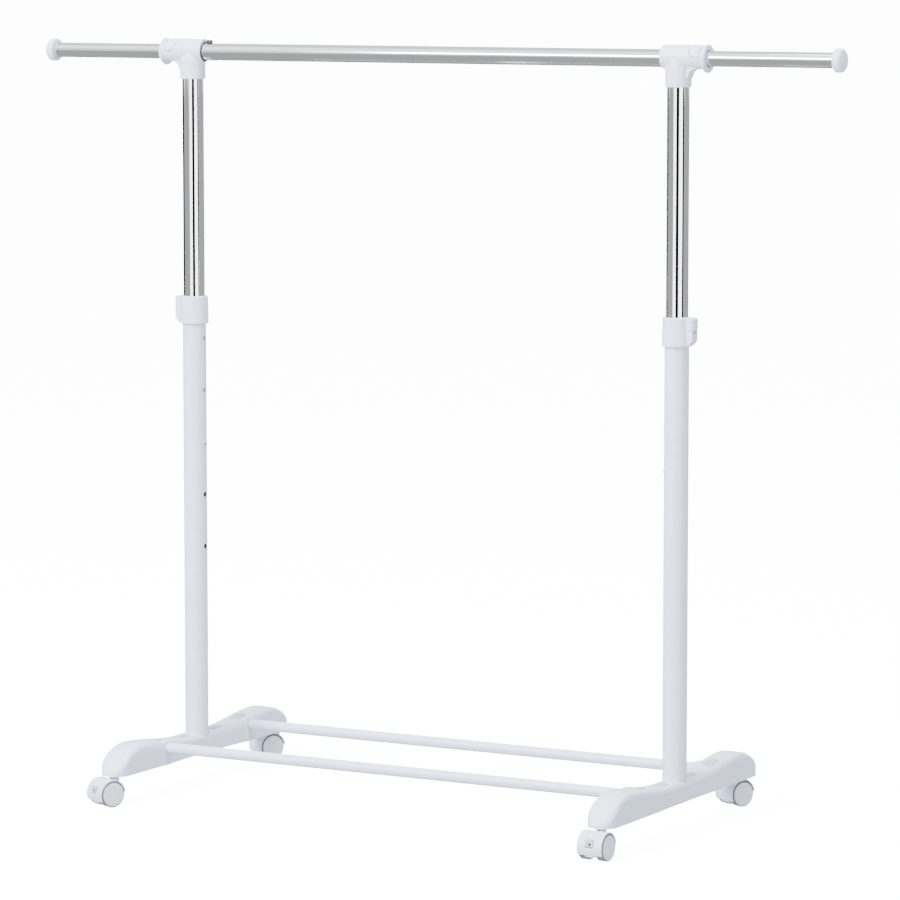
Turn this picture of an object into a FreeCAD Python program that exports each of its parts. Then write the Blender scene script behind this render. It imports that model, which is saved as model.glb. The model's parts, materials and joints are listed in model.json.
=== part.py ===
"""Garment rail: two moulded feet on twin-wheel casters, two uprights with sliding posts, and a hanging
bar with an extension at each end.

Lengths are in millimetres, +Z is up and +Y is the rear. The origin lies on the floor in the middle of the
footprint, a little ahead of the uprights because all the wheels trail forward. Each side is drawn in its own
frame, whose origin is on the floor under the upright and whose x axis points outward; the left side is the
right side turned half way round.
"""
import FreeCAD, Part
import math
import os
import re
import Sketcher
from FreeCAD import Rotation, Vector

SIZES = [
    # overall layout
    ("post_spacing", 800),
    ("footprint_shift", 12),
    ("bar_height", 1093),
    # hollow moulded feet
    ("foot_waist_top", 73),
    ("foot_dome_top", 85),
    ("foot_half_length", 242),
    ("foot_half_width", 22),
    ("foot_waist_inner", 18.6),
    ("foot_waist_outer", 20.6),
    ("foot_waist_end", 42),
    ("foot_tip_length", 60),
    ("foot_wall", 2.6),
    ("foot_corner", 9),
    ("rib_thickness", 2.4),
    ("pad_width", 20),
    ("pad_proud", 1.5),
    ("cap_length", 32),
    ("cap_width", 17),
    ("cap_skin", 2),
    ("cap_offset", 44),
    # cross rods
    ("rod_offset", 116),
    ("rod_height", 69),
    ("rod_radius", 8),
    ("rod_depth", 3),
    ("rod_screw_inset", 9.5),
    ("rod_screw_radius", 2),
    # lower tubes and posts
    ("steel_wall", 1.2),
    ("tube_radius", 17.5),
    ("tube_bottom", 51),
    ("tube_top", 712),
    ("hole_radius", 4.2),
    ("hole_pitch", 78),
    ("rest_hole_height", 512),
    ("bolt_radius", 3),
    ("post_radius", 16),
    ("post_bottom", 470),
    ("post_top", 1078),
    ("post_plug_length", 16),
    # snap buttons
    ("button_radius", 3.6),
    ("button_proud", 2.5),
    ("button_inset", 1.3),
    ("button_flange", 5.2),
    ("spring_thickness", 0.6),
    ("spring_width", 6),
    # collars and their levers
    ("collar_bottom", 690),
    ("collar_top", 731),
    ("collar_radius", 21.5),
    ("collar_top_radius", 20.5),
    ("collar_lobe", 28),
    ("collar_lobe_width", 18),
    ("collar_slot_back", 19.8),
    ("collar_slot_width", 13.6),
    ("collar_slot_floor", 709),
    ("collar_pin_out", 26),
    ("collar_pin_up", 713.5),
    ("collar_lever_width", 13),
    ("collar_lever_thickness", 5.5),
    # tees and their levers
    ("neck_radius", 18.75),
    ("neck_bottom", 1053),
    ("sleeve_radius", 17),
    ("sleeve_lift", 2),
    ("sleeve_inner", 22),
    ("sleeve_outer", 48),
    ("flange_radius", 20),
    ("flange_thickness", 5),
    ("mouth_radius", 12.25),
    ("tee_pin_out", 39.2),
    ("tee_pin_up", 15.5),
    ("tee_lever_reach", 17.2),
    ("tee_lever_bore", 13.2),
    ("tee_lever_seam", 1),
    ("lug_width", 6),
    ("lug_reach", 3.6),
    ("seam_gap", 0.8),
    # hanging bar and extensions
    ("bar_radius", 12.7),
    ("bar_wall", 1),
    ("bar_past_post", 21),
    ("extension_radius", 11.1),
    ("extension_inner", 190),
    ("extension_outer", 246),
    ("bush_radius", 14.4),
    ("bush_length", 8),
    ("stop_inset", 30),
    ("stop_radius", 4.5),
    ("stop_height", 5),
    ("end_cap_radius", 16.8),
    ("end_cap_start", 240),
    ("end_cap_length", 14),
    # casters
    ("stem_offset", 226),
    ("stem_radius", 4),
    ("stem_top", 64),
    ("stem_bottom", 28),
    ("trail", 14.5),
    ("axle_radius", 2.5),
    ("wheel_radius", 19),
    ("caster_half_width", 20.5),
    ("tread_gap", 1.1),
    ("swivel_gap", 2.2),
    ("hood_wall", 1.7),
    ("hood_skirt", 9.5),
    ("hood_web", 7.2),
    ("brake_width", 12),
    ("heading_front_left", -24),
    ("heading_front_right", -2),
    ("heading_rear_left", -30),
    ("heading_rear_right", -25),
    # fits
    ("press_gap", 0.05),
    ("running_gap", 0.08),
    ("free_gap", 0.35),
]

# sizes that are the sum of others
SUMS = {
    "axle_height": ["wheel_radius"],
    "hood_radius": ["wheel_radius", "tread_gap", "hood_wall"],
    "foot_underside": ["axle_height", "hood_radius", "swivel_gap"],
    "pad_top": ["rod_height", "rod_radius", "cap_skin"],
    "button_reach": ["tube_radius", "button_proud"],
}

SIDES = {"left": -1, "right": 1}
CASTERS = {
    "front_left": ("left", -1),
    "front_right": ("right", -1),
    "rear_left": ("left", 1),
    "rear_right": ("right", 1),
}
ALONG_X = Rotation(Vector(0, 1, 0), 90)
ALONG_Y = Rotation(Vector(1, 0, 0), -90)
UPRIGHT = Rotation()

doc = FreeCAD.newDocument("garment_rail")
sheet = doc.addObject("Spreadsheet::Sheet", "sizes")


def fill_sheet():
    """Put each size in its own named cell."""
    for row, (name, number) in enumerate(SIZES, start=1):
        sheet.set(f"A{row}", name)
        sheet.set(f"B{row}", str(number))
        sheet.setAlias(f"B{row}", name)
    doc.recompute()


def value(name):
    if name in SUMS:
        return sum(value(part) for part in SUMS[name])
    return float(sheet.get(name))


def bound(text):
    """Turn a formula in size names into one that reads the spreadsheet."""
    names = {name for name, _ in SIZES}

    def spell(match):
        word = match.group()
        if word in SUMS:
            return "(" + " + ".join(bound(part) for part in SUMS[word]) + ")"
        return "sizes." + word if word in names else word

    return re.sub(r"[a-z_]+", spell, text)


def bind(obj, **formulas):
    for prop, text in formulas.items():
        obj.setExpression(prop, bound(text))
    return obj


def bind_position(obj, x, y, z):
    obj.setExpression("Placement.Base.x", bound(x))
    obj.setExpression("Placement.Base.y", bound(y))
    obj.setExpression("Placement.Base.z", bound(z))


def place(obj, side, x="0", y="0", z="0", turn=UPRIGHT):
    """Place an object in a side's frame, in the frame of the middle of the rail, or in its own frame."""
    if side == "own":
        obj.Placement = FreeCAD.Placement(Vector(), turn)
        bind_position(obj, x, y, z)
        return obj
    if side == "middle":
        obj.Placement = FreeCAD.Placement(Vector(), turn)
        bind_position(obj, x, f"({y}) + footprint_shift", z)
        return obj
    sign = SIDES[side]
    spin = Rotation(Vector(0, 0, 1), 180 if sign < 0 else 0)
    obj.Placement = FreeCAD.Placement(Vector(), spin.multiply(turn))
    bind_position(obj, f"{sign} * (post_spacing / 2 + ({x}))", f"{sign} * ({y}) + footprint_shift", z)
    return obj


def cylinder(label, side, radius, length, x="0", y="0", z="0", turn=UPRIGHT):
    obj = doc.addObject("Part::Cylinder", label)
    bind(obj, Radius=radius, Height=length)
    return place(obj, side, x, y, z, turn)


def box(label, side, x_size, y_size, z_size, x="0", y="0", z="0"):
    """A box whose x and z start at the given point and whose y is centred on it."""
    obj = doc.addObject("Part::Box", label)
    bind(obj, Length=x_size, Width=y_size, Height=z_size)
    return place(obj, side, x, f"({y}) - ({y_size}) / 2", z)


def pipe(label, side, radius, wall, length, x="0", y="0", z="0", turn=UPRIGHT):
    outer = cylinder(label + "_outer", side, radius, length, x, y, z, turn)
    inner = cylinder(label + "_inner", side, f"({radius}) - ({wall})", length, x, y, z, turn)
    return cut(label, outer, inner)


def fuse(label, *shapes):
    obj = doc.addObject("Part::MultiFuse", label)
    obj.Shapes = list(shapes)
    return obj


def cut(label, base, *tools):
    obj = doc.addObject("Part::Cut", label)
    obj.Base = base
    obj.Tool = tools[0] if len(tools) == 1 else fuse(label + "_cutters", *tools)
    return obj


def common(label, first, second):
    obj = doc.addObject("Part::Common", label)
    obj.Base = first
    obj.Tool = second
    return obj


def group(label, *members):
    obj = doc.addObject("Part::Compound", label)
    obj.Links = list(members)
    return obj


def sketch_polygon(body, label, role, corners):
    """Draw a closed polygon on an origin plane of the body, each corner held by two bound distances."""
    sketch = body.newObject("Sketcher::SketchObject", label + "_outline")
    plane = next(f for f in body.Origin.OriginFeatures if f.Role == role)
    sketch.AttachmentSupport = [(plane, "")]
    sketch.MapMode = "FlatFace"
    count = len(corners)
    turns = [2 * math.pi * i / count for i in range(count)]
    start = [Vector(40 + 10 * math.cos(a), 40 + 10 * math.sin(a), 0) for a in turns]
    for i in range(count):
        sketch.addGeometry(Part.LineSegment(start[i], start[(i + 1) % count]), False)
    for i in range(count):
        sketch.addConstraint(Sketcher.Constraint("Coincident", i, 2, (i + 1) % count, 1))
    for i, (across, up) in enumerate(corners):
        for kind, at, text in (("DistanceX", start[i].x, across), ("DistanceY", start[i].y, up)):
            number = sketch.addConstraint(Sketcher.Constraint(kind, -1, 1, i, 1, at))
            sketch.setExpression(f"Constraints[{number}]", bound(text))
    return sketch


def turned(label, side, profile, x="0", y="0", z="0", turn=UPRIGHT):
    """A body turned about its own z axis; the profile lists (radius, height) corners."""
    body = doc.addObject("PartDesign::Body", label)
    sketch = sketch_polygon(body, label, "XZ_Plane", profile)
    feature = body.newObject("PartDesign::Revolution", label + "_turned")
    feature.Profile = sketch
    feature.ReferenceAxis = (sketch, ["V_Axis"])
    feature.Angle = 360
    body.Tip = feature
    return place(body, side, x, y, z, turn)


def slab(label, side, outline, width, y="0"):
    """A body with an (x, z) outline, as wide as given and centred on y."""
    body = doc.addObject("PartDesign::Body", label)
    sketch = sketch_polygon(body, label, "XZ_Plane", outline)
    feature = body.newObject("PartDesign::Pad", label + "_pad")
    feature.Profile = sketch
    feature.SideType = "Symmetric"
    bind(feature, Length=width)
    body.Tip = feature
    return place(body, side, "0", y, "0")


# ---------------------------------------------------------------- feet


def smooth_step(low, high, t):
    u = min(max((t - low) / (high - low), 0.0), 1.0)
    return u * u * (3 - 2 * u)


def foot_section(y, inset, drop):
    """Closed outline of the foot across its length, with a flat underside and rounded upper corners."""
    tip_start = value("foot_half_length") - value("foot_half_width")
    half = value("foot_half_width")
    rise = smooth_step(value("foot_waist_end") - 12, 125, abs(y))
    inner = value("foot_waist_inner") + (half - value("foot_waist_inner")) * rise - inset
    outer = value("foot_waist_outer") + (half - value("foot_waist_outer")) * rise - inset
    if abs(y) > tip_start:
        inner = outer = math.sqrt((half - inset) ** 2 - (abs(y) - tip_start) ** 2)
    underside = value("foot_underside")
    dome_start = value("foot_half_length") - value("foot_tip_length")
    waist = value("foot_waist_top")
    dome = value("foot_dome_top")
    top = waist + (dome - waist) * smooth_step(value("foot_waist_end"), dome_start, abs(y)) - inset
    if abs(y) > dome_start:
        share = (abs(y) - dome_start) / (value("foot_tip_length") - inset)
        top = underside + (dome - underside - inset) * (1 - share**1.7) ** (1 / 1.7)
    radius = min(value("foot_corner"), 0.6 * inner, 0.6 * (top - underside))
    bend = radius * (1 - math.sqrt(0.5))
    low = underside - drop
    corners = [
        Vector(-inner, y, low),
        Vector(-inner, y, top - radius),
        Vector(-inner + radius, y, top),
        Vector(outer - radius, y, top),
        Vector(outer, y, top - radius),
        Vector(outer, y, low),
    ]
    left_mid = Vector(-inner + bend, y, top - bend)
    right_mid = Vector(outer - bend, y, top - bend)
    edges = [
        Part.LineSegment(corners[0], corners[1]).toShape(),
        Part.Arc(corners[1], left_mid, corners[2]).toShape(),
        Part.LineSegment(corners[2], corners[3]).toShape(),
        Part.Arc(corners[3], right_mid, corners[4]).toShape(),
        Part.LineSegment(corners[4], corners[5]).toShape(),
        Part.LineSegment(corners[5], corners[0]).toShape(),
    ]
    return Part.Wire(edges)


def foot_form(label, side, inset, drop, lift="0"):
    """The lofted outer form of a foot, or with an inset the form of its hollow."""
    end = value("foot_half_length") - inset
    stations = [0, 20, 40, 58, 74, 90, 108, 126, 144, 160, 176, 190, 202, 212]
    stations += [end - 22, end - 16, end - 11, end - 7, end - 4, end - 2, end - 0.7]
    stations = sorted(stations)
    lines = [-y for y in reversed(stations[1:])] + stations
    form = doc.addObject("Part::Feature", label)
    form.Shape = Part.makeLoft([foot_section(y, inset, drop) for y in lines], True, True)
    return place(form, side, z=lift)


def cap_positions():
    return ["-rod_offset", "-cap_offset", "cap_offset", "rod_offset"]


def oblong(label, side, grow, y):
    """Upright prism with rounded ends, long in y, that passes through the top of a foot."""
    reach = "(cap_length - cap_width) / 2"
    radius = f"cap_width / 2 + ({grow})"
    middle = box(label + "_middle", side, f"2 * ({radius})", f"2 * {reach}", "30", f"-({radius})", y, "62")
    near = cylinder(label + "_near", side, radius, "30", "0", f"({y}) - {reach}", "62")
    far = cylinder(label + "_far", side, radius, "30", "0", f"({y}) + {reach}", "62")
    return fuse(label, middle, near, far)


def make_feet():
    """Draw one foot with its four caps in its own frame, then stand it on both sides."""
    name = "foot_whole"
    side = "own"
    outer = foot_form(f"{name}_form", side, 0, 0)
    hollow = foot_form(f"{name}_hollow", side, value("foot_wall"), 1)
    pads = []
    for sign in (-1, 1):
        y = f"{sign} * rod_offset"
        depth = "foot_half_width + pad_proud"
        pads.append(
            box(f"{name}_pad", side, depth, "pad_width", "pad_top - foot_underside", f"-({depth})", y, "foot_underside")
        )
    shell = cut(f"{name}_shell", fuse(f"{name}_padded", outer, *pads), hollow)
    inner = foot_form(f"{name}_ribs_form", side, 0.5 * value("foot_wall"), 0)
    stiffeners = []
    for y in (-192, -154, -78, 78, 154, 192):
        stiffeners.append(
            box(f"{name}_rib", side, "2 * foot_half_width", "rib_thickness", "50", "-foot_half_width", str(y),
                "foot_underside + 2")
        )
    for sign in (-1, 1):
        stem_y = f"{sign} * stem_offset"
        rod_y = f"{sign} * rod_offset"
        stiffeners.append(cylinder(f"{name}_stem_boss", side, "stem_radius + 3.5", "40", "0", stem_y, "foot_underside"))
        stiffeners.append(
            cylinder(f"{name}_rod_boss", side, "rod_radius + 2.5", "2 * foot_half_width", "-foot_half_width", rod_y,
                     "rod_height", ALONG_X)
        )
        stiffeners.append(
            cylinder(f"{name}_screw_boss", side, "6.5", "rod_height - foot_underside - 2", "-rod_screw_inset", rod_y,
                     "foot_underside + 2")
        )
    stiffeners.append(cylinder(f"{name}_socket", side, "tube_radius + 3.5", "35", "0", "0", "tube_bottom - 3.4"))
    insides = common(f"{name}_insides", fuse(f"{name}_stiffeners", *stiffeners), inner)
    solid = fuse(f"{name}_solid", shell, insides)
    bores = [
        cylinder(f"{name}_tube_bore", side, "tube_radius + press_gap", "60", "0", "0", "tube_bottom"),
        cylinder(f"{name}_bolt_bore", side, "bolt_radius + 0.3", "20", "0", "0", "tube_bottom - 10"),
    ]
    for sign in (-1, 1):
        stem_y = f"{sign} * stem_offset"
        rod_y = f"{sign} * rod_offset"
        bores.append(
            cylinder(f"{name}_stem_bore", side, "stem_radius + press_gap", "stem_top + 0.5 - foot_underside + 5", "0",
                     stem_y, "foot_underside - 5")
        )
        bores.append(
            cylinder(f"{name}_rod_bore", side, "rod_radius + press_gap", "foot_half_width + 10 - rod_depth",
                     "-foot_half_width - 10", rod_y, "rod_height", ALONG_X)
        )
        bores.append(
            cylinder(f"{name}_screw_bore", side, "rod_screw_radius + press_gap", "rod_height - foot_underside",
                     "-rod_screw_inset", rod_y, "foot_underside")
        )
        bores.append(
            cylinder(f"{name}_screw_recess", side, "4.4", "6", "-rod_screw_inset", rod_y, "foot_underside")
        )
    bored = cut(f"{name}_bored", solid, *bores)
    pockets = fuse(f"{name}_pockets", *[oblong(f"{name}_pocket", side, "press_gap", y) for y in cap_positions()])
    floor = foot_form(f"{name}_pocket_floor", side, 0, 0, "-cap_skin - press_gap")
    whole = cut(name, bored, cut(f"{name}_pocket_tool", pockets, floor))
    prisms = fuse("foot_caps_prisms", *[oblong("foot_caps_prism", side, "0", y) for y in cap_positions()])
    skin = foot_form("foot_caps_top", side, 0, 0, "0.6")
    under = foot_form("foot_caps_under", side, 0, 0, "-cap_skin")
    caps = cut("foot_caps_whole", common("foot_caps_blank", prisms, skin), under)
    for each in SIDES:
        place(group(f"foot_{each}", whole), each)
        place(group(f"foot_caps_{each}", caps), each)


def make_rods():
    """Two steel tubes between the feet, each held by an upright screw at both ends."""
    screws = []
    for name, sign in (("front", -1), ("rear", 1)):
        y = f"{sign} * rod_offset"
        half = "(post_spacing / 2 - rod_depth)"
        rod = pipe(f"cross_rod_{name}_tube", "middle", "rod_radius", "steel_wall", f"2 * {half}", f"-{half}", y,
                   "rod_height", ALONG_X)
        holes = []
        for end in (-1, 1):
            x = f"{end} * (post_spacing / 2 - rod_screw_inset)"
            holes.append(
                cylinder(f"cross_rod_{name}_hole", "middle", "rod_screw_radius + press_gap", "rod_radius", x, y,
                         "rod_height - rod_radius - 1")
            )
            shank = cylinder("rod_screw_shank", "middle", "rod_screw_radius", "rod_height - foot_underside - 9", x, y,
                             "foot_underside + 4")
            head = cylinder("rod_screw_head", "middle", "4", "2.4", x, y, "foot_underside + 3.6")
            screws.append(fuse("rod_screw", shank, head))
        cut(f"cross_rod_{name}", rod, *holes)
    group("rod_screws", *screws)


# ---------------------------------------------------------------- uprights


def make_upright(side):
    tube = pipe(f"lower_tube_{side}_pipe", side, "tube_radius", "steel_wall", "tube_top - tube_bottom", z="tube_bottom")
    holes = []
    for step in (-2, -1, 0, 1, 2):
        holes.append(
            cylinder(f"lower_tube_{side}_hole", side, "hole_radius", "tube_radius", "-tube_radius - 3", "0",
                     f"rest_hole_height + {step} * hole_pitch", ALONG_X)
        )
    cut(f"lower_tube_{side}", tube, *holes)

    post = pipe(f"post_{side}_pipe", side, "post_radius", "steel_wall", "post_top - post_bottom", z="post_bottom")
    hole = cylinder(f"post_{side}_hole", side, "button_radius + running_gap", "post_radius", "-post_radius - 3", "0",
                    "rest_hole_height", ALONG_X)
    cut(f"post_{side}", post, hole)

    inside = "post_radius - steel_wall - press_gap"
    guide = "tube_radius - steel_wall - running_gap"
    turned(
        f"post_plug_{side}",
        side,
        [
            ("11", "-8"),
            (f"{guide} - 1", "-8"),
            (guide, "-7"),
            (guide, "-0"),
            (inside, "0"),
            (inside, "post_plug_length"),
            ("11", "post_plug_length"),
        ],
        z="post_bottom",
    )


def make_tube_feet():
    """Plugs pressed into the foot of each tube and the bolts that hold them down."""
    plugs = []
    bolts = []
    for side in SIDES:
        radius = "tube_radius - steel_wall - press_gap"
        blank = cylinder(f"tube_plug_{side}_blank", side, radius, "17", z="tube_bottom")
        bore = cylinder(f"tube_plug_{side}_bore", side, "bolt_radius + press_gap", "20", z="tube_bottom - 1")
        plugs.append(cut(f"tube_plug_{side}", blank, bore))
        head = doc.addObject("Part::Prism", f"tube_bolt_{side}_head")
        head.Polygon = 6
        bind(head, Circumradius="bolt_radius * 1.9", Height="3.6")
        place(head, side, z="tube_bottom - 3.4 - 3.6")
        shank = cylinder(f"tube_bolt_{side}_shank", side, "bolt_radius", "18", z="tube_bottom - 3.4")
        bolts.append(fuse(f"tube_bolt_{side}", head, shank))
    group("tube_plugs", *plugs)
    group("tube_bolts", *bolts)


def make_button(side):
    """Snap button with its flange inside the post, and the V spring that pushes it out."""
    seat = "post_radius - steel_wall - button_inset"
    length = f"button_reach - ({seat})"
    turned(
        f"snap_button_{side}",
        side,
        [
            ("0", "-1"),
            ("button_flange", "-1"),
            ("button_flange", "0"),
            ("button_radius", "0"),
            ("button_radius", f"{length} - 2.2"),
            ("button_radius * 0.93", f"{length} - 1.4"),
            ("button_radius * 0.72", f"{length} - 0.6"),
            ("button_radius * 0.4", f"{length} - 0.12"),
            ("0", length),
        ],
        f"-({seat})",
        "0",
        "rest_hole_height",
        Rotation(Vector(0, 1, 0), -90),
    )
    near = f"1.35 - ({seat})"
    inner = f"{near} + spring_thickness"
    high = "rest_hole_height + 9"
    bend = "rest_hole_height - 30"
    far = f"{seat} + 0.1"
    slab(
        f"button_spring_{side}",
        side,
        [
            (near, high),
            (near, "rest_hole_height - 7"),
            ("-1.5", bend),
            ("1.5", bend),
            (far, high),
            (f"{far} - spring_thickness * 1.3", high),
            ("0.4", f"{bend} + 1.6"),
            ("-0.4", f"{bend} + 1.6"),
            (inner, "rest_hole_height - 7"),
            (inner, high),
        ],
        "spring_width",
    )


def make_collar(side):
    """Guide collar on top of the lower tube, with a lever hinged in its outer lobe."""
    name = f"collar_{side}"
    low = "tube_radius + press_gap"
    high = "post_radius + running_gap"
    ring = turned(
        f"{name}_ring",
        side,
        [
            (low, "0"),
            ("collar_radius - 0.8", "0"),
            ("collar_radius", "0.8"),
            ("collar_top_radius", "collar_top - collar_bottom - 1.2"),
            ("collar_top_radius - 1.2", "collar_top - collar_bottom"),
            (high, "collar_top - collar_bottom"),
            (high, "tube_top - collar_bottom"),
            (low, "tube_top - collar_bottom"),
        ],
        z="collar_bottom",
    )
    lobe = slab(
        f"{name}_lobe",
        side,
        [
            ("18.4", "collar_bottom + 2"),
            ("collar_lobe - 5", "collar_bottom + 2"),
            ("collar_lobe", "collar_bottom + 9"),
            ("collar_lobe", "collar_top - 2"),
            ("collar_lobe - 2", "collar_top"),
            ("18.4", "collar_top"),
        ],
        "collar_lobe_width",
    )
    slot_depth = "collar_lobe + 10 - collar_slot_back"
    slot = box(f"{name}_slot", side, slot_depth, "collar_slot_width", "40", "collar_slot_back", "0", "collar_slot_floor")
    pin_bore = cylinder(f"{name}_pin_bore", side, "1.25 + press_gap", "30", "collar_pin_out", "-15", "collar_pin_up",
                        ALONG_Y)
    cut(name, fuse(f"{name}_blank", ring, lobe), slot, pin_bore)

    lever = f"collar_lever_{side}"
    back = "collar_pin_out - 2.2"
    front = f"{back} + collar_lever_thickness"
    outline = [
        (back, "collar_pin_up"),
        ("collar_pin_out", "collar_pin_up - 2.4"),
        (front, "collar_pin_up"),
    ]
    for ridge in (3.2, 6.6, 10.0, 13.4):
        outline += [
            (front, f"collar_pin_up + {ridge}"),
            (f"{front} + 1", f"collar_pin_up + {ridge} + 0.5"),
            (f"{front} + 1", f"collar_pin_up + {ridge} + 1.6"),
            (front, f"collar_pin_up + {ridge} + 2.1"),
        ]
    outline += [
        (f"{front} - 0.6", "collar_top - 0.6"),
        (f"{back} + 1", "collar_top - 0.2"),
        (back, "collar_top - 1.2"),
    ]
    blank = slab(f"{lever}_blank", side, outline, "collar_lever_width")
    bore = cylinder(f"{lever}_bore", side, "1.25 + running_gap", "30", "collar_pin_out", "-15", "collar_pin_up", ALONG_Y)
    cut(lever, blank, bore)


def make_pins():
    """Hinge pins of the collar levers and of the tee levers."""
    collar = []
    tee = []
    for side in SIDES:
        half = "(collar_lobe_width / 2 - 0.4)"
        collar.append(
            cylinder(f"collar_pin_{side}", side, "1.25", f"2 * {half}", "collar_pin_out", f"-{half}", "collar_pin_up",
                     ALONG_Y)
        )
        tee.append(
            cylinder(f"tee_pin_{side}", side, "1.3", "14", "tee_pin_out", "-7", "bar_height + tee_pin_up", ALONG_Y)
        )
    group("collar_pins", *collar)
    group("tee_pins", *tee)


# ---------------------------------------------------------------- tees and bars


def tee_window(name, side, reach, gap):
    """The space swept by the lever on a tee: all above the seam that lies near enough to the hinge."""
    start = "tee_pin_out - 30"
    disc = cylinder(f"{name}_disc", side, reach, "60", "tee_pin_out", "-30", "bar_height + tee_pin_up", ALONG_Y)
    half = box(f"{name}_half", side, f"30 - ({gap})", "60", "60", start, "0", f"bar_height + tee_lever_seam + ({gap})")
    return common(name, disc, half)


def make_tee(side):
    name = f"tee_{side}"
    axis = "bar_height"
    length = "sleeve_inner + sleeve_outer"
    sleeve = cylinder(f"{name}_sleeve", side, "sleeve_radius", length, "-sleeve_inner", "0", f"{axis} + sleeve_lift",
                      ALONG_X)
    flange = turned(
        f"{name}_flange",
        side,
        [
            ("mouth_radius", "0"),
            ("flange_radius - 1", "0"),
            ("flange_radius", "1"),
            ("flange_radius", "flange_thickness - 1.5"),
            ("flange_radius - 1.5", "flange_thickness"),
            ("mouth_radius", "flange_thickness"),
        ],
        "sleeve_outer - flange_thickness",
        "0",
        axis,
        ALONG_X,
    )
    neck = turned(
        f"{name}_neck",
        side,
        [
            ("0", "0"),
            ("neck_radius - 0.6", "0"),
            ("neck_radius", "0.6"),
            ("neck_radius", "bar_height - neck_bottom - 14"),
            ("sleeve_radius", "bar_height - neck_bottom - 2"),
            ("0", "bar_height - neck_bottom - 2"),
        ],
        z="neck_bottom",
    )
    gusset = slab(
        f"{name}_gusset",
        side,
        [
            ("10", f"{axis} - 27"),
            ("neck_radius", f"{axis} - 27"),
            ("neck_radius + 0.6", f"{axis} - 23.5"),
            ("neck_radius + 2.4", f"{axis} - 19.8"),
            ("neck_radius + 5.4", f"{axis} - 16.6"),
            ("neck_radius + 9.4", f"{axis} - 14.6"),
            ("neck_radius + 13", f"{axis} - 13.5"),
            ("neck_radius + 13", f"{axis} - 8"),
            ("10", f"{axis} - 8"),
        ],
        "18",
    )
    post_bore = cylinder(f"{name}_post_bore", side, "post_radius + press_gap", "post_top - neck_bottom + 5",
                         z="neck_bottom - 5")
    bar_bore = cylinder(f"{name}_bar_bore", side, "bar_radius + press_gap", "sleeve_inner + bar_past_post + 5",
                        "-sleeve_inner - 5", "0", axis, ALONG_X)
    mouth = cylinder(f"{name}_mouth", side, "mouth_radius", "60", "0", "0", axis, ALONG_X)
    bush_seat = cylinder(f"{name}_bush_seat", side, "bush_radius + press_gap", "bush_length + 10",
                         "-sleeve_inner - 10", "0", axis, ALONG_X)
    window = tee_window(f"{name}_window", side, "tee_lever_reach + seam_gap", "0")
    pin_up = f"{axis} + tee_pin_up"
    knuckle = cylinder(f"{name}_knuckle", side, "4.2", "60", "tee_pin_out", "-30", pin_up, ALONG_Y)
    above = box(f"{name}_above", side, "sleeve_outer - flange_thickness - tee_pin_out", "60", "20", "tee_pin_out", "0",
                pin_up)
    notch = box(f"{name}_notch", side, "6", "11", "10", "tee_pin_out - tee_lever_reach - 5", "0", f"{axis} + 16")
    blank = fuse(f"{name}_blank", sleeve, flange, neck, gusset)
    opened = cut(f"{name}_opened", blank, window, knuckle, above, notch)
    lug_form = box(f"{name}_lug_form", side, "sleeve_outer - flange_thickness + 0.5 - tee_pin_out + lug_reach",
                   "lug_width", "30", "tee_pin_out - lug_reach", "0", f"{axis} + mouth_radius - 1.5")
    lug_skin = cylinder(f"{name}_lug_skin", side, "sleeve_radius - 0.1", "60", "0", "0", f"{axis} + sleeve_lift", ALONG_X)
    lug = common(f"{name}_lug", lug_form, lug_skin)
    pin_bore = cylinder(f"{name}_pin_bore", side, "1.3 + press_gap", "30", "tee_pin_out", "-15", pin_up, ALONG_Y)
    bore_clear = cylinder(f"{name}_lug_bore", side, "mouth_radius", "60", "20", "0", axis, ALONG_X)
    lug_bored = cut(f"{name}_lug_bored", lug, bore_clear)
    cut(name, fuse(f"{name}_body", opened, lug_bored), post_bore, bar_bore, mouth, bush_seat, pin_bore)


def make_tee_lever(side):
    """Half shell over the extension bar, hinged near the flange, with a slot for the tee's lug."""
    name = f"tee_lever_{side}"
    axis = "bar_height"
    pin_up = f"{axis} + tee_pin_up"
    skin = cylinder(f"{name}_skin", side, "sleeve_radius", "60", "0", "0", f"{axis} + sleeve_lift", ALONG_X)
    shell = common(f"{name}_shell", tee_window(f"{name}_reach", side, "tee_lever_reach", "seam_gap"), skin)
    knuckle = cylinder(f"{name}_knuckle", side, "3.4", "22", "tee_pin_out", "-11", pin_up, ALONG_Y)
    knuckle_skin = common(f"{name}_knuckle_skin", knuckle, skin)
    inside = cylinder(f"{name}_inside", side, "tee_lever_bore", "60", "0", "0", axis, ALONG_X)
    slot = box(f"{name}_slot", side, "20", "lug_width + 2 * free_gap", "30",
               "tee_pin_out - lug_reach - 1.7", "0", f"{axis} + 5")
    bore = cylinder(f"{name}_bore", side, "1.3 + running_gap", "30", "tee_pin_out", "-15", pin_up, ALONG_Y)
    cut(name, fuse(f"{name}_body", shell, knuckle_skin), inside, slot, bore)


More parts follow.
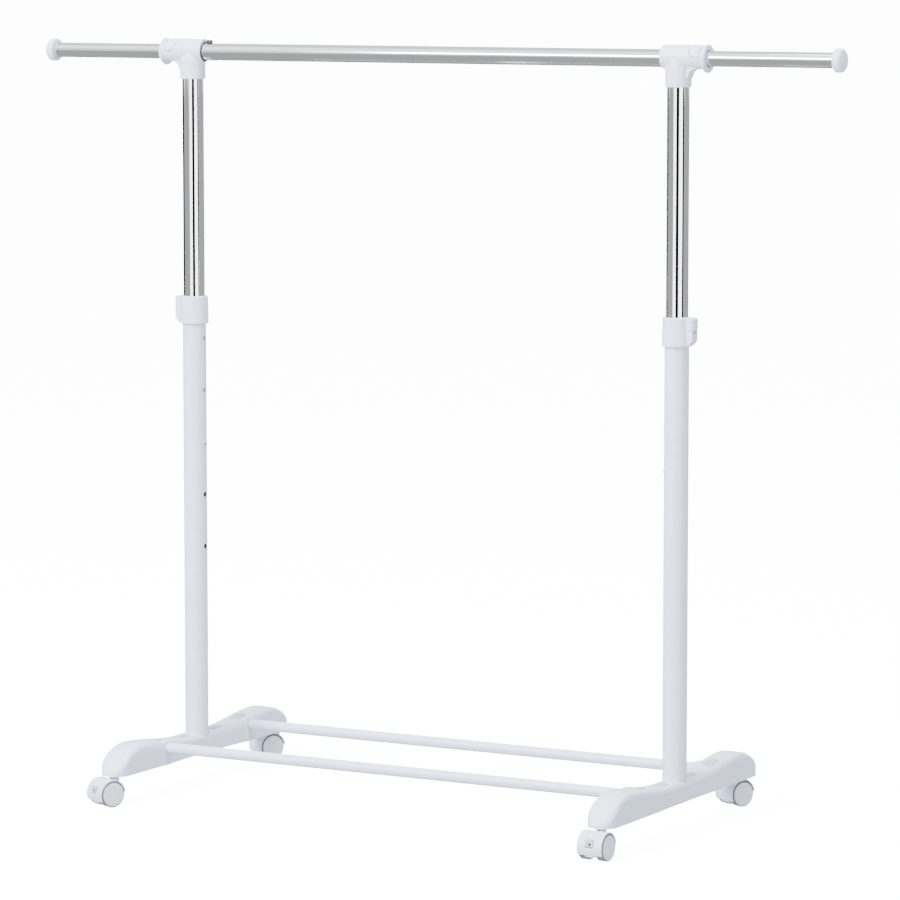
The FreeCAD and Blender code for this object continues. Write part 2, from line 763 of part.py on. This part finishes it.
def make_bars():
    reach = "(post_spacing / 2 + bar_past_post)"
    bar = pipe("centre_bar_tube", "middle", "bar_radius", "bar_wall", f"2 * {reach}", f"-{reach}", "0", "bar_height", ALONG_X)
    stop_hole = cylinder("centre_bar_stop_hole", "left", "1.5 + press_gap", "10", "-stop_inset", "0",
                         "bar_height + bar_radius - 5")
    cut("centre_bar", bar, stop_hole)
    head = turned(
        "bar_stop_head",
        "left",
        [
            ("0", "0"),
            ("stop_radius", "0"),
            ("stop_radius", "stop_height - 1.2"),
            ("stop_radius - 1.2", "stop_height"),
            ("0", "stop_height"),
        ],
        "-stop_inset",
        "0",
        "bar_height + bar_radius",
    )
    shank = cylinder("bar_stop_shank", "left", "1.5", "bar_wall + 1", "-stop_inset", "0",
                     "bar_height + bar_radius - bar_wall + press_gap")
    fuse("bar_stop", head, shank)

    for side in SIDES:
        bore = "bar_radius + press_gap"
        turned(
            f"bar_bush_{side}",
            side,
            [
                (bore, "0"),
                ("bush_radius - 0.5", "0"),
                ("bush_radius", "0.5"),
                ("bush_radius", "bush_length + 1"),
                (bore, "bush_length + 1"),
            ],
            "-sleeve_inner - 1",
            "0",
            "bar_height",
            ALONG_X,
        )
        pipe(f"extension_{side}", side, "extension_radius", "bar_wall", "extension_outer - (-extension_inner)",
             "-extension_inner", "0", "bar_height", ALONG_X)
        inside = "extension_radius - bar_wall - press_gap"
        guide = "bar_radius - bar_wall - running_gap"
        turned(
            f"extension_plug_{side}",
            side,
            [
                ("7", "-6"),
                (f"{guide} - 0.8", "-6"),
                (guide, "-5"),
                (guide, "0"),
                (inside, "0"),
                (inside, "12"),
                ("7", "12"),
            ],
            "-extension_inner",
            "0",
            "bar_height",
            ALONG_X,
        )
        make_end_cap(side)


def make_end_cap(side):
    seat = "extension_outer - end_cap_start"
    rim = "end_cap_radius"
    turned(
        f"end_cap_{side}",
        side,
        [
            ("0", seat),
            ("extension_radius + press_gap", seat),
            ("extension_radius + press_gap", "0"),
            (f"{rim} - 1", "0"),
            (rim, "1"),
            (rim, "end_cap_length - 6"),
            (f"{rim} * 0.96", "end_cap_length - 3.8"),
            (f"{rim} * 0.84", "end_cap_length - 2"),
            (f"{rim} * 0.62", "end_cap_length - 0.8"),
            (f"{rim} * 0.33", "end_cap_length - 0.2"),
            ("0", "end_cap_length"),
        ],
        "end_cap_start",
        "0",
        "bar_height",
        ALONG_X,
    )


# ---------------------------------------------------------------- casters


def stand_caster(obj, caster):
    """Move a finished caster piece from the frame of its stem to its place on the rail."""
    side, row = CASTERS[caster]
    obj.Placement = FreeCAD.Placement(Vector(), Rotation(Vector(0, 0, 1), 10))
    bind_position(obj, f"{SIDES[side]} * post_spacing / 2", f"{row} * stem_offset + footprint_shift", "0")
    obj.setExpression("Placement.Rotation.Angle", bound(f"heading_{caster}"))
    return obj


def make_stems():
    """Steel swivel pins pressed into the feet, each with a flange under the moulding."""
    stems = []
    for caster, (side, row) in CASTERS.items():
        y = f"{row * SIDES[side]} * stem_offset"
        shaft = cylinder(f"stem_{caster}_shaft", side, "stem_radius", "stem_top - stem_bottom", "0", y, "stem_bottom")
        flange = cylinder(f"stem_{caster}_flange", side, "stem_radius + 2.6", "1.4", "0", y, "foot_underside - 1.4")
        stems.append(fuse(f"stem_{caster}", shaft, flange))
    group("caster_stems", *stems)


def make_hood(caster):
    """Central web with a curved cover over both wheels, deeper on the trailing side than round the stem."""
    name = f"caster_hood_{caster}"
    axle_y = "-trail"
    width = "(caster_half_width - 1)"
    cover = cylinder(f"{name}_cover", "own", "hood_radius", f"2 * {width}", f"-{width}", axle_y, "axle_height", ALONG_X)
    under = cylinder(f"{name}_under", "own", "hood_radius - hood_wall", "80", "-40", axle_y, "axle_height", ALONG_X)
    low = box(f"{name}_low", "own", "80", "80", "40", "-40", axle_y, "hood_skirt - 40")
    near_stem = box(f"{name}_near_stem", "own", "80", "40", "40", "-40", f"{axle_y} + 20", "axle_height + 2 - 40")
    arch = cut(f"{name}_arch", cover, under, low, near_stem)
    web = cylinder(f"{name}_web", "own", "hood_radius", "2 * hood_web", "-hood_web", axle_y, "axle_height", ALONG_X)
    ground = box(f"{name}_ground", "own", "80", "80", "40", "-40", axle_y, "axle_height - 12 - 40")
    socket = cylinder(f"{name}_socket", "own", "hood_web", "22", "0", "0", "foot_underside - 1.4 - free_gap - 22")
    head_room = box(f"{name}_head_room", "own", "80", "80", "20", "-40", "0", "foot_underside - 1.4 - free_gap")
    stem = cylinder(f"{name}_stem_bore", "own", "stem_radius + running_gap", "40", "0", "0", "stem_bottom - free_gap")
    axle = cylinder(f"{name}_axle_bore", "own", "axle_radius + press_gap", "80", "-40", axle_y, "axle_height", ALONG_X)
    cuts = [ground, head_room, stem, axle]
    if caster.startswith("front"):
        cuts.append(
            box(f"{name}_brake_slot", "own", "brake_width + 2 * free_gap", "10", "13", "-brake_width / 2 - free_gap",
                f"{axle_y} - hood_radius", "axle_height + 1")
        )
        cuts.append(
            cylinder(f"{name}_brake_bore", "own", "0.8 + press_gap", "14.6", "-7.3", f"{axle_y} - hood_radius + 2.6",
                     "axle_height + 4", ALONG_X)
        )
    whole = cut(f"{name}_whole", fuse(f"{name}_blank", arch, web, socket), *cuts)
    stand_caster(group(name, whole), caster)

    pin = cylinder(f"caster_axle_{caster}_pin", "own", "axle_radius", "2 * (caster_half_width - 3)",
                   "-(caster_half_width - 3)", axle_y, "axle_height", ALONG_X)
    stand_caster(group(f"caster_axle_{caster}", pin), caster)


def make_brake(caster):
    """Small rocker in a recess of a front hood, hinged on a thin pin of its own."""
    name = f"brake_lever_{caster}"
    y = "-trail - hood_radius + 2.6"
    arm = box(f"{name}_arm", "own", "brake_width", "4", "8", "-brake_width / 2", f"{y} - 0.05", "axle_height + 4")
    root = cylinder(f"{name}_root", "own", "2.1", "brake_width", "-brake_width / 2", y, "axle_height + 4", ALONG_X)
    bore = cylinder(f"{name}_bore", "own", "0.8 + running_gap", "30", "-15", y, "axle_height + 4", ALONG_X)
    stand_caster(group(name, cut(f"{name}_whole", fuse(f"{name}_blank", arm, root), bore)), caster)
    return cylinder(f"brake_pin_{caster}", "own", "0.8", "14.4", "-7.2", y, "axle_height + 4", ALONG_X)


def make_brake_pins():
    for caster in ("front_left", "front_right"):
        pin = make_brake(caster)
        stand_caster(group(f"brake_pins_{caster}", pin), caster)


def make_wheel(caster, name, hand):
    """Hollow moulded wheel, closed on its outer face, with a blind hub that runs on the axle."""
    hub = "axle_radius + running_gap"
    start = "hood_web + free_gap"
    face = "caster_half_width"
    disc = turned(
        f"wheel_{caster}_{name}_disc",
        "own",
        [
            (hub, start),
            ("6", start),
            ("6", f"{face} - 3.4"),
            ("wheel_radius - 3", f"{face} - 3.4"),
            ("wheel_radius - 3", start),
            ("wheel_radius - 0.6", start),
            ("wheel_radius", f"{start} + 0.6"),
            ("wheel_radius", f"{face} - 1.4"),
            ("wheel_radius - 0.8", f"{face} - 0.5"),
            ("wheel_radius - 1.2", f"{face} - 0.5"),
            ("wheel_radius - 1.2", f"{face} - 2"),
            ("wheel_radius - 1.9", f"{face} - 2"),
            ("wheel_radius - 1.9", f"{face} - 0.5"),
            ("wheel_radius - 4", face),
            ("0", face),
            ("0", f"{face} - 2.6"),
            (hub, f"{face} - 2.6"),
        ],
        "0",
        "-trail",
        "axle_height",
        Rotation(Vector(0, 1, 0), 90 * hand),
    )
    stand_caster(group(f"wheel_{caster}_{name}", disc), caster)


def make_casters():
    make_stems()
    for caster in CASTERS:
        make_hood(caster)
        make_wheel(caster, "a", 1)
        make_wheel(caster, "b", -1)
    make_brake_pins()


# ---------------------------------------------------------------- build


def node_names():
    """Every piece that is written out, by name."""
    names = ["cross_rod_front", "cross_rod_rear", "rod_screws", "tube_plugs", "tube_bolts", "collar_pins"]
    names += ["tee_pins", "centre_bar", "bar_stop", "caster_stems"]
    for side in SIDES:
        for piece in ("foot", "foot_caps", "lower_tube", "post", "post_plug", "snap_button", "button_spring"):
            names.append(f"{piece}_{side}")
        for piece in ("collar", "collar_lever", "tee", "tee_lever", "bar_bush", "extension", "extension_plug"):
            names.append(f"{piece}_{side}")
        names.append(f"end_cap_{side}")
    for caster in CASTERS:
        names += [f"caster_hood_{caster}", f"caster_axle_{caster}"]
        names += [f"wheel_{caster}_a", f"wheel_{caster}_b"]
    for caster in ("front_left", "front_right"):
        names += [f"brake_lever_{caster}", f"brake_pins_{caster}"]
    return names


def check_and_write():
    os.makedirs("parts", exist_ok=True)
    for obj in doc.Objects:
        if "Invalid" in obj.State or "Error" in obj.State:
            raise RuntimeError(f"{obj.Label} did not build: {obj.State}")
    for name in node_names():
        shape = doc.getObject(name).Shape
        if shape.isNull() or not shape.isValid() or not shape.Solids:
            raise RuntimeError(f"{name} has no valid solid")
        shape.exportStep(f"parts/{name}.step")
        low = shape.BoundBox
        print(name, len(shape.Solids), round(shape.Volume), [round(v, 1) for v in (
            low.XMin, low.XMax, low.YMin, low.YMax, low.ZMin, low.ZMax)])


fill_sheet()
make_feet()
make_rods()
make_tube_feet()
make_pins()
make_bars()
for each_side in SIDES:
    make_upright(each_side)
    make_button(each_side)
    make_collar(each_side)
    make_tee(each_side)
    make_tee_lever(each_side)
make_casters()
doc.recompute()
check_and_write()
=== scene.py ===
import json
import math

import bpy
from mathutils import Matrix, Vector


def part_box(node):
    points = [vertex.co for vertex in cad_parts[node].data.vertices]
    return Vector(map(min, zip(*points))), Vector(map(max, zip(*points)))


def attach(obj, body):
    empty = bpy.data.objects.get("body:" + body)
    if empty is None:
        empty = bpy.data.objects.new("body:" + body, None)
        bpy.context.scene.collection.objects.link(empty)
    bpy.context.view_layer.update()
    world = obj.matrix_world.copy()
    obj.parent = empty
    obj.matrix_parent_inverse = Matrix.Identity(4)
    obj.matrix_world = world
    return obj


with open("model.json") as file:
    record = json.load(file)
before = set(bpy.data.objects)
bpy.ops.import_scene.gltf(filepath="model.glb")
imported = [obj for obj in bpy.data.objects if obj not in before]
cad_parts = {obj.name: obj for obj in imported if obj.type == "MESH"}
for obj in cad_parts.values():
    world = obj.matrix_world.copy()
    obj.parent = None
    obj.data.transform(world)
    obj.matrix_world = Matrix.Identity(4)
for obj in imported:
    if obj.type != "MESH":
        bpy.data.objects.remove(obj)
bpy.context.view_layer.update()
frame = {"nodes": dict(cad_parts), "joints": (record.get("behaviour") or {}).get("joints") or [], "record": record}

SHIFT = 0.012
SIDES = ("left", "right")
CASTERS = ("front_left", "front_right", "rear_left", "rear_right")
BRAKED = ("front_left", "front_right")
HANDS = ("a", "b")
# radius past which a wheel's faces get the painted shade of the groove and rolling surface
DISC_EDGE = 0.0172


# ---------------------------------------------------------------- materials


class Nodes:
    """A short way to wire shader nodes."""

    def __init__(self, name):
        self.mat = bpy.data.materials.new(name)
        self.mat.use_nodes = True
        self.tree = self.mat.node_tree
        self.bsdf = next(n for n in self.tree.nodes if n.type == "BSDF_PRINCIPLED")
        self.where = self.add("ShaderNodeTexCoord").outputs["Object"]

    def add(self, kind, **values):
        node = self.tree.nodes.new(kind)
        for key, value in values.items():
            setattr(node, key, value)
        return node

    def link(self, a, b):
        self.tree.links.new(a, b)

    def noise(self, scale, detail=4, rough=0.55, stretch=None):
        node = self.add("ShaderNodeTexNoise")
        node.inputs["Scale"].default_value = scale
        node.inputs["Detail"].default_value = detail
        node.inputs["Roughness"].default_value = rough
        at = self.where
        if stretch:
            mapping = self.add("ShaderNodeMapping")
            mapping.inputs["Scale"].default_value = stretch
            self.link(at, mapping.inputs["Vector"])
            at = mapping.outputs["Vector"]
        self.link(at, node.inputs["Vector"])
        return node.outputs["Fac"]

    def spread(self, fac, low, high, from_low=0.3, from_high=0.7):
        node = self.add("ShaderNodeMapRange")
        node.inputs["From Min"].default_value = from_low
        node.inputs["From Max"].default_value = from_high
        node.inputs["To Min"].default_value = low
        node.inputs["To Max"].default_value = high
        self.link(fac, node.inputs["Value"])
        return node.outputs["Result"]

    def mix(self, fac, a, b):
        node = self.add("ShaderNodeMix", data_type="RGBA")
        self.link(fac, node.inputs["Factor"])
        node.inputs["A"].default_value = (*a, 1)
        node.inputs["B"].default_value = (*b, 1)
        return node.outputs["Result"]

    def bump(self, height, distance, strength=1.0):
        node = self.add("ShaderNodeBump")
        node.inputs["Distance"].default_value = distance
        node.inputs["Strength"].default_value = strength
        self.link(height, node.inputs["Height"])
        self.link(node.outputs["Normal"], self.bsdf.inputs["Normal"])

    def set(self, **values):
        for key, value in values.items():
            self.bsdf.inputs[key.replace("_", " ")].default_value = value


def make_plastic(name, light, dark, rough, sheen=0.5):
    n = Nodes(name)
    tone = n.mix(n.spread(n.noise(9, 5), 0, 1), light, dark)
    n.link(tone, n.bsdf.inputs["Base Color"])
    n.link(n.spread(n.noise(60, 3), rough - 0.05, rough + 0.08), n.bsdf.inputs["Roughness"])
    n.bump(n.noise(1400, 2), 0.00006, 0.6)
    n.set(IOR=1.48)
    n.bsdf.inputs["Specular IOR Level"].default_value = sheen
    return n.mat


def make_metal(name, light, dark, low, high, stretch, grain):
    n = Nodes(name)
    n.link(n.mix(n.spread(n.noise(14, 3), 0, 1), light, dark), n.bsdf.inputs["Base Color"])
    n.link(n.spread(n.noise(90, 4, 0.6, stretch), low, high), n.bsdf.inputs["Roughness"])
    if grain:
        n.bump(n.noise(700, 2, 0.5, stretch), grain, 0.5)
    n.set(Metallic=1.0)
    return n.mat


# light and dark tone, then roughness
PLASTICS = {
    "white_plastic": ((0.69, 0.75, 0.905), (0.655, 0.715, 0.875), 0.34),
    "white_paint": ((0.68, 0.745, 0.905), (0.655, 0.72, 0.885), 0.26),
    "wheel_plastic": ((0.70, 0.75, 0.84), (0.64, 0.69, 0.78), 0.28),
    "grey_plastic": ((0.47, 0.53, 0.64), (0.42, 0.48, 0.59), 0.5),
    "black_plastic": ((0.030, 0.030, 0.033), (0.018, 0.018, 0.02), 0.45),
}
# light and dark tone, lowest and highest roughness, stretch of the grain and its depth
METALS = {
    "chrome": ((0.90, 0.91, 0.92), (0.87, 0.88, 0.89), 0.028, 0.042, (1, 1, 0.08), 0),
    "bar_chrome": ((0.86, 0.88, 0.87), (0.81, 0.83, 0.82), 0.06, 0.12, (0.05, 1, 1), 0),
    "zinc": ((0.60, 0.61, 0.62), (0.48, 0.49, 0.50), 0.28, 0.42, (1, 1, 1), 0.00001),
}
MATERIALS = {name: make_plastic(name, *facts) for name, facts in PLASTICS.items()}
MATERIALS.update({name: make_metal(name, *facts) for name, facts in METALS.items()})
# painted shade: a dark finish for the groove round each wheel's face disc and for its rolling surface
TREAD_SHADE = make_plastic("wheel_tread_shade", (0.20, 0.21, 0.225), (0.13, 0.135, 0.145), 0.55, 0.3)

SLOTS = {row["node"]: row["material_slot"] for row in frame["record"]["subparts"]}
for node_name, obj in frame["nodes"].items():
    obj.data.materials.clear()
    obj.data.materials.append(MATERIALS[SLOTS[node_name]])


def paint_tread_shade(obj, joint):
    """Give the rolling surface and the groove round the face disc a dark finish: painted shade for the shadow in
    the groove and under the wheel.
    """
    hub = Vector(joint["pos_m"])
    axis = Vector(joint["axis"]).normalized()
    obj.data.materials.append(TREAD_SHADE)
    for face in obj.data.polygons:
        arm = face.center - hub
        out = (arm - axis * arm.dot(axis)).length
        # faces past the disc edge take the painted shade
        if out > DISC_EDGE:
            face.material_index = 1


JOINTS = {joint["name"]: joint for joint in frame["joints"]}
# painted shade on the groove and rolling surface of every wheel
for caster in CASTERS:
    for hand in HANDS:
        paint_tread_shade(frame["nodes"][f"wheel_{caster}_{hand}"], JOINTS[f"roll_{caster}_{hand}"])


# ---------------------------------------------------------------- moulded softness


def mould(obj, voxel, rounds):
    """Round the edges and blend the inner corners of a moulded piece with modifiers; its mesh stays."""
    weld = obj.modifiers.new("weld", "WELD")
    weld.merge_threshold = 0.00001
    remesh = obj.modifiers.new("remesh", "REMESH")
    remesh.mode = "VOXEL"
    remesh.voxel_size = voxel
    remesh.use_smooth_shade = True
    smooth = obj.modifiers.new("smooth", "SMOOTH")
    smooth.factor = 0.5
    smooth.iterations = rounds


# how finely each moulded piece is remeshed, in metres, and how many times it is smoothed
MOULDED = {
    "foot": (0.0009, 10),
    "tee": (0.0004, 14),
    "tee_lever": (0.0003, 6),
    "collar": (0.0004, 8),
    "collar_lever": (0.00025, 4),
    "end_cap": (0.0005, 6),
    "foot_caps": (0.0004, 4),
}
HOOD_MOULD = (0.0004, 6)

for side_name in SIDES:
    for piece, (voxel_size, smoothing) in MOULDED.items():
        mould(frame["nodes"][f"{piece}_{side_name}"], voxel_size, smoothing)
for caster in CASTERS:
    mould(frame["nodes"][f"caster_hood_{caster}"], *HOOD_MOULD)


# ---------------------------------------------------------------- small details


def lathe(name, profile, at, along, slot_name, body, steps=40):
    """Turn (radius, height) points about a line through a point, as a small piece of that body."""
    verts = []
    faces = []
    for radius, height in profile:
        for i in range(steps):
            angle = 2 * math.pi * i / steps
            verts.append((radius * math.cos(angle), radius * math.sin(angle), height))
    for ring in range(len(profile) - 1):
        for i in range(steps):
            a, b = ring * steps + i, ring * steps + (i + 1) % steps
            faces.append((a, b, b + steps, a + steps))
    mesh = bpy.data.meshes.new(name)
    mesh.from_pydata(verts, [], faces)
    mesh.shade_smooth()
    obj = bpy.data.objects.new(name, mesh)
    bpy.context.scene.collection.objects.link(obj)
    obj.matrix_world = Matrix.Translation(at) @ along.to_track_quat("Z", "Y").to_matrix().to_4x4()
    mesh.materials.append(MATERIALS[slot_name])
    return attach(obj, body)


def middle_of(node):
    low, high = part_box(node)
    return (low + high) / 2


# a black disc on each brake lever, painted shade for the dark hole of its eye, and the raised rim round it, as
# (radius, height) points
EYE_SHADE = [(0, 0.00006), (0.0019, 0.00008), (0.0021, 0.0002), (0.0021, -0.0006)]
RIM = [(0.0021, -0.0004), (0.0022, 0.00025), (0.0025, 0.00035), (0.0028, 0.0002), (0.0029, -0.0004)]

for caster in BRAKED:
    lever_name = f"brake_lever_{caster}"
    hinge = Vector(JOINTS[f"brake_{caster}"]["axis"]).normalized()
    outward = hinge.cross(Vector((0, 0, 1)))
    if outward.dot(middle_of(lever_name) - middle_of(f"caster_hood_{caster}")) < 0:
        outward.negate()
    points = [Vector(v.co) for v in frame["nodes"][lever_name].data.vertices]
    face = max(p.dot(outward) for p in points)
    eye = middle_of(lever_name) + hinge * 0.0012 - Vector((0, 0, 0.0006))
    eye += outward * (face - eye.dot(outward))
    # painted shade: a black disc stands where the lever's eye shows dark
    lathe(f"brake_eye_shade_{caster}", EYE_SHADE, eye, outward, "black_plastic", lever_name)
    lathe(f"brake_rim_{caster}", RIM, eye, outward, "white_plastic", lever_name)


# ---------------------------------------------------------------- studio


def stage_material(name, color, strength):
    mat = bpy.data.materials.new(name)
    mat.use_nodes = True
    bsdf = next(n for n in mat.node_tree.nodes if n.type == "BSDF_PRINCIPLED")
    bsdf.inputs["Base Color"].default_value = (*color, 1)
    bsdf.inputs["Roughness"].default_value = 0.9
    bsdf.inputs["Emission Color"].default_value = (*color, 1)
    bsdf.inputs["Emission Strength"].default_value = strength
    return mat


def panel(name, at, toward, width, height, material):
    mesh = bpy.data.meshes.new(name)
    w, h = width / 2, height / 2
    mesh.from_pydata([(-w, -h, 0), (w, -h, 0), (w, h, 0), (-w, h, 0)], [], [(0, 1, 2, 3)])
    obj = bpy.data.objects.new(name, mesh)
    bpy.context.scene.collection.objects.link(obj)
    obj.location = at
    obj.rotation_euler = (Vector(toward) - Vector(at)).to_track_quat("Z", "Y").to_euler()
    mesh.materials.append(material)
    return obj


def area_light(name, at, toward, size, power, color=(1, 1, 1)):
    lamp = bpy.data.lights.new(name, "AREA")
    lamp.shape = "RECTANGLE"
    lamp.size, lamp.size_y = size
    lamp.energy = power
    lamp.color = color
    obj = bpy.data.objects.new(name, lamp)
    bpy.context.scene.collection.objects.link(obj)
    obj.location = at
    obj.rotation_euler = (Vector(toward) - Vector(at)).to_track_quat("-Z", "Y").to_euler()
    return obj


def card(name, at, toward, width, height, material, soft=False):
    """A studio card that lights the rail only by reflection, or with soft only by scattered light."""
    obj = panel(name, at, toward, width, height, material)
    obj.visible_camera = False
    obj.visible_diffuse = soft
    obj.visible_glossy = not soft
    obj.visible_shadow = False
    obj.visible_transmission = False
    return obj


AZ = math.radians(29.076)
PITCH = math.radians(6.44)
LENS = 180
SENSOR = 36
look = Vector((-math.sin(AZ) * math.cos(PITCH), math.cos(AZ) * math.cos(PITCH), -math.sin(PITCH)))
CENTRE = Vector((0, SHIFT, 0.55))
camera_data = bpy.data.cameras.new("camera")
camera = bpy.data.objects.new("camera", camera_data)
bpy.context.scene.collection.objects.link(camera)
camera.location = (3.180, -5.655 + SHIFT, 1.254)
camera.rotation_euler = look.to_track_quat("-Z", "Y").to_euler()
camera_data.lens = LENS
camera_data.sensor_width = SENSOR
camera_data.clip_end = 900
bpy.context.scene.camera = camera

world = bpy.data.worlds.new("world")
bpy.context.scene.world = world
world.use_nodes = True
sky = world.node_tree.nodes["Background"]
sky.inputs["Color"].default_value = (0.90, 0.95, 1.0, 1)
sky.inputs["Strength"].default_value = 1.5


def glow(name, color, strength):
    """A card's finish: no light of the room, only a set brightness."""
    mat = stage_material(name, color, strength)
    bsdf = next(n for n in mat.node_tree.nodes if n.type == "BSDF_PRINCIPLED")
    bsdf.inputs["Base Color"].default_value = (0, 0, 0, 1)
    bsdf.inputs["Specular IOR Level"].default_value = 0
    return mat


BLACK = glow("card_black", (0.5, 0.55, 0.6), 0.01)
SMOKE = glow("card_smoke", (0.90, 1.0, 0.97), 0.55)
PEARL = glow("card_pearl", (0.95, 1.0, 1.0), 2.6)
WHITE = glow("card_white", (1.0, 1.0, 1.0), 5.5)
BOUNCE = glow("card_bounce", (0.92, 0.96, 1.0), 2.0)


def upright_card(name, start, end, material, reach=4.0, top=1.5):
    """A standing card seen from the rail between two bearings, in degrees from the camera to the right."""
    middle = math.radians((start + end) / 2)
    half = math.radians((end - start) / 2)
    bearing = AZ + middle
    spot = Vector((math.sin(bearing), -math.cos(bearing), 0)) * reach * math.cos(half)
    at = CENTRE + spot
    at.z = top / 2
    card(name, at, (CENTRE.x, CENTRE.y, at.z), 2 * reach * math.sin(half), top, material)


FLOOR_SIDE = 900
CARD_SIDE = 60

# the floor's own brightness; its shine and its scattered light on the rail come from the two cards above it
floor_finish = stage_material("floor", (0.96, 0.965, 0.97), 13.0)
floor = panel("floor", (0, 0, 0), (0, 0, 1), FLOOR_SIDE, FLOOR_SIDE, floor_finish)
floor.visible_diffuse = False
floor.visible_glossy = False
card("floor_shine", (0, 0, 0.001), (0, 0, 1), CARD_SIDE, CARD_SIDE, SMOKE)
card("floor_bounce", (0, 0, 0.002), (0, 0, 1), CARD_SIDE, CARD_SIDE, BOUNCE, soft=True)

upright_card("card_front", -13, 9, BLACK)
upright_card("card_left_white", -42, -17, WHITE)
upright_card("card_left_dark", -138, -112, BLACK)
upright_card("card_right_white", 14, 44, WHITE)
upright_card("card_right_dark", 47, 60, BLACK)
upright_card("card_right_smoke", 68, 110, SMOKE)
card("card_top", (-1.4, -1.9, 3.1), (-1.4, -1.9, 0), 8, 3.0, PEARL)
area_light("key", CENTRE + Vector((-1.2, -3.8, 2.8)), CENTRE, (2.4, 2.4), 720, (0.94, 0.97, 1.0))
area_light("top", CENTRE + Vector((0.6, -0.4, 4.2)), CENTRE, (3.0, 3.0), 330, (0.94, 0.97, 1.0))
